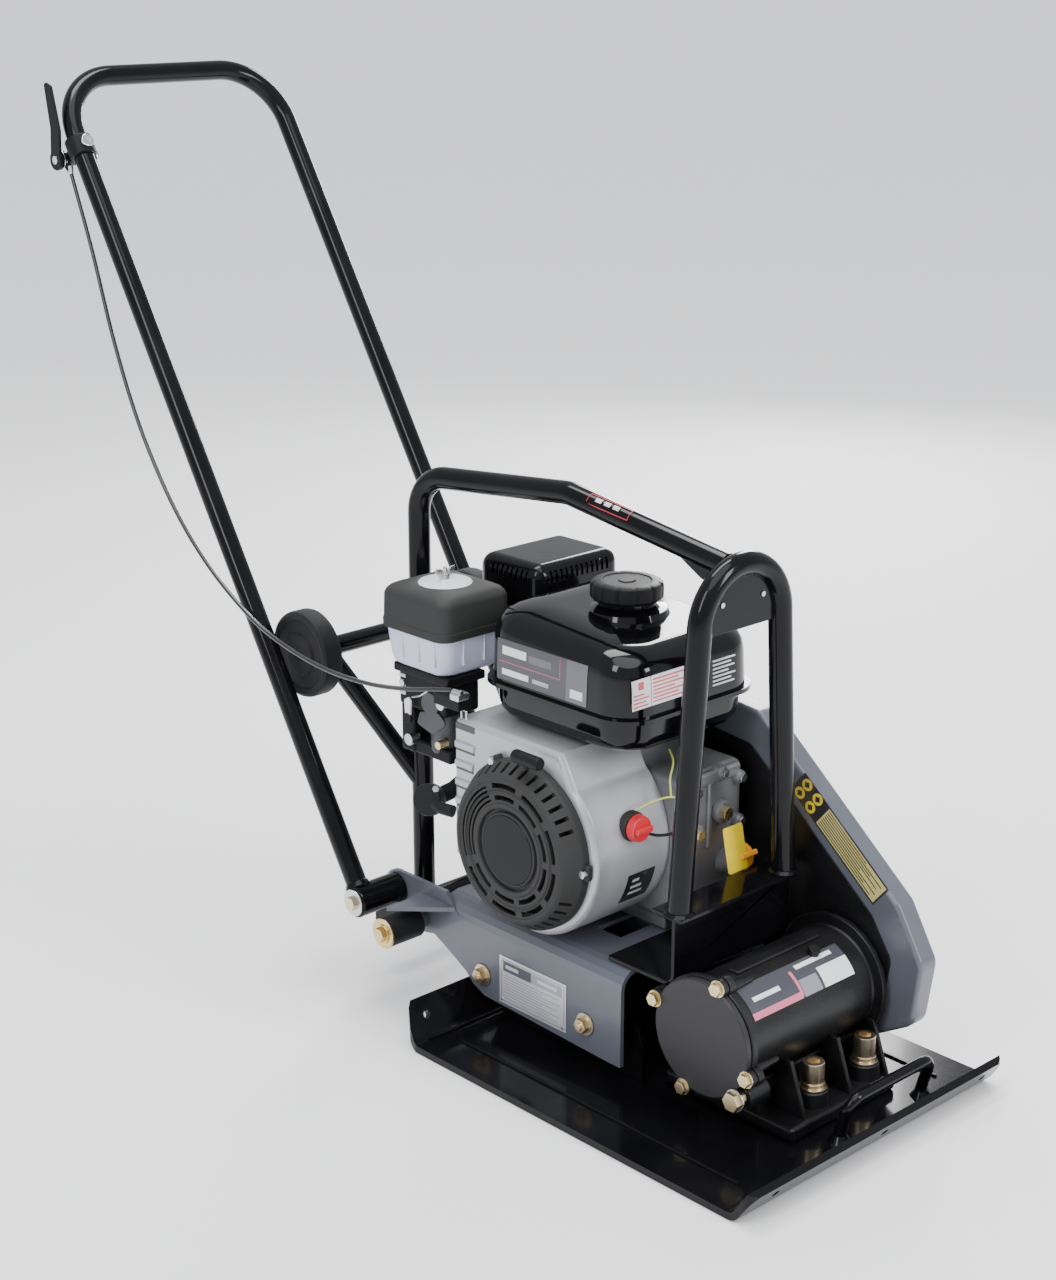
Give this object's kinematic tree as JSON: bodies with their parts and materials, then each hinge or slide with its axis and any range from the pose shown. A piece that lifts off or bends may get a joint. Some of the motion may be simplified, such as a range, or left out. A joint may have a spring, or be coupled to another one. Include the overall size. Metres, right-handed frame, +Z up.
{
  "type": "plate compactor",
  "caption": "Walk-behind plate compactor: vibrating base plate, exciter, petrol engine on a sprung deck, tube guard, transport wheels and folding handle.",
  "frame": {"origin": "centre of the base plate flat underside, on the ground", "axes": "+Z up; +Y to the rear, where the handle leans; +X to the belt-cover side"},
  "size_m": [0.398, 1.1742, 1.0039],
  "materials": {
    "black_paint": "gloss black enamel",
    "rubber": "black moulded rubber",
    "cast_black": "black paint on a casting",
    "cover_grey": "dark grey paint",
    "zinc": "yellow zinc plate",
    "steel": "bright steel",
    "grey_paint": "satin blue-grey enamel",
    "label_plate": "printed aluminium foil",
    "black_plastic": "satin black plastic",
    "white_plastic": "milky white plastic",
    "red_plastic": "red plastic",
    "orange_plastic": "orange plastic",
    "silver_paint": "silver enamel",
    "aluminium": "raw die casting"
  },
  "bodies": {
    "machine": {"base_plate": "black_paint", "isolator_bracket_left": "black_paint", "isolator_bracket_right": "black_paint", "front_lift_loop": "black_paint", "guard_bar": "black_paint", "front_hoop": "black_paint", "front_guard_base": "black_paint", "wheel_axle_frame": "black_paint", "rocker_cover": "black_paint", "fuel_tank": "black_paint", "muffler_guard": "black_paint", "isolator_front_left": "rubber", "isolator_rear_left": "rubber", "isolator_front_right": "rubber", "isolator_rear_right": "rubber", "stop_buffer_left": "rubber", "stop_buffer_right": "rubber", "throttle_cable": "rubber", "spark_plug_cap": "rubber", "v_belt": "rubber", "exciter_housing": "cast_black", "exciter_drive_cover": "cast_black", "exciter_end_cover": "cover_grey", "drain_plug": "zinc", "foot_screw_front_left": "zinc", "foot_screw_front_right": "zinc", "foot_screw_rear_left": "zinc", "foot_screw_rear_right": "zinc", "exciter_bearing_left": "steel", "exciter_bearing_right": "steel", "pivot_bolt_left": "steel", "pivot_bolt_right": "steel", "muffler": "steel", "engine_deck": "grey_paint", "belt_cover": "grey_paint", "data_plate": "label_plate", "recoil_cover": "black_plastic", "air_cleaner_cover": "black_plastic", "carburettor": "black_plastic", "air_cleaner_case": "white_plastic", "blower_shroud": "silver_paint", "crankcase": "aluminium"},
    "handle": {"handle": "black_paint", "throttle_clamp": "black_plastic", "pivot_bush_left": "rubber", "pivot_bush_right": "rubber"},
    "throttle_lever_body": {"throttle_lever": "black_plastic"},
    "wheel_left_body": {"wheel_left": "rubber"},
    "wheel_right_body": {"wheel_right": "rubber"},
    "crank": {"crankshaft": "steel", "flywheel_fan": "aluminium", "clutch_pulley": "steel"},
    "exciter_rotor": {"eccentric_shaft": "steel", "driven_pulley": "steel"},
    "fuel_cap_body": {"fuel_cap": "black_plastic"},
    "dipstick_body": {"oil_dipstick": "orange_plastic"},
    "wing_nut_body": {"wing_nut": "steel"},
    "switch_body": {"engine_switch": "red_plastic"},
    "choke_body": {"choke_lever": "black_plastic"},
    "grip_body": {"starter_grip": "black_plastic"}
  },
  "joints": [
    {"name": "handle_fold", "type": "hinge", "parent": "machine", "child": "handle", "pos_m": [0, 0.368, 0.12], "axis": [1, 0, 0], "range_deg": [0, 96], "deforming": ["throttle_cable"]},
    {"name": "throttle_turn", "type": "hinge", "parent": "handle", "child": "throttle_lever_body", "pos_m": [-0.154, 0.88545, 0.9005], "axis": [1, 0, 0], "range_deg": [-35, 20]},
    {"name": "wheel_left_spin", "type": "hinge", "parent": "machine", "child": "wheel_left_body", "pos_m": [-0.125, 0.494, 0.375], "axis": [1, 0, 0], "continuous": true},
    {"name": "wheel_right_spin", "type": "hinge", "parent": "machine", "child": "wheel_right_body", "pos_m": [0.125, 0.494, 0.375], "axis": [1, 0, 0], "continuous": true},
    {"name": "crank_spin", "type": "hinge", "parent": "machine", "child": "crank", "pos_m": [0, 0.147, 0.243], "axis": [1, 0, 0], "continuous": true},
    {"name": "exciter_spin", "type": "hinge", "parent": "machine", "child": "exciter_rotor", "pos_m": [0, -0.1, 0.108], "axis": [1, 0, 0], "continuous": true},
    {"name": "fuel_cap_turn", "type": "hinge", "parent": "machine", "child": "fuel_cap_body", "pos_m": [0.021, 0.132, 0.509], "axis": [0, 0, 1], "range_deg": [0, 90]},
    {"name": "dipstick_turn", "type": "hinge", "parent": "machine", "child": "dipstick_body", "pos_m": [0.07, 0.01173, 0.21723], "axis": [0, -0.9003, 0.4352], "continuous": true},
    {"name": "wing_nut_turn", "type": "hinge", "parent": "machine", "child": "wing_nut_body", "pos_m": [-0.06, 0.329, 0.481], "axis": [0, 0, 1], "continuous": true},
    {"name": "switch_turn", "type": "hinge", "parent": "machine", "child": "switch_body", "pos_m": [-0.052, 0.04, 0.276], "axis": [0, -1, 0], "range_deg": [0, 60]},
    {"name": "choke_turn", "type": "hinge", "parent": "machine", "child": "choke_body", "pos_m": [-0.102, 0.345, 0.33], "axis": [1, 0, 0], "range_deg": [-60, 0]},
    {"name": "starter_pull", "type": "slide", "parent": "machine", "child": "grip_body", "axis": [0, 0, 1], "range_m": [0, 0.3], "stiffness_N_per_m": 12, "springref_m": -0.05}
  ],
  "couplings": [
    {"joint": "exciter_spin", "follows": "crank_spin", "ratio": 1.5385}
  ]
}
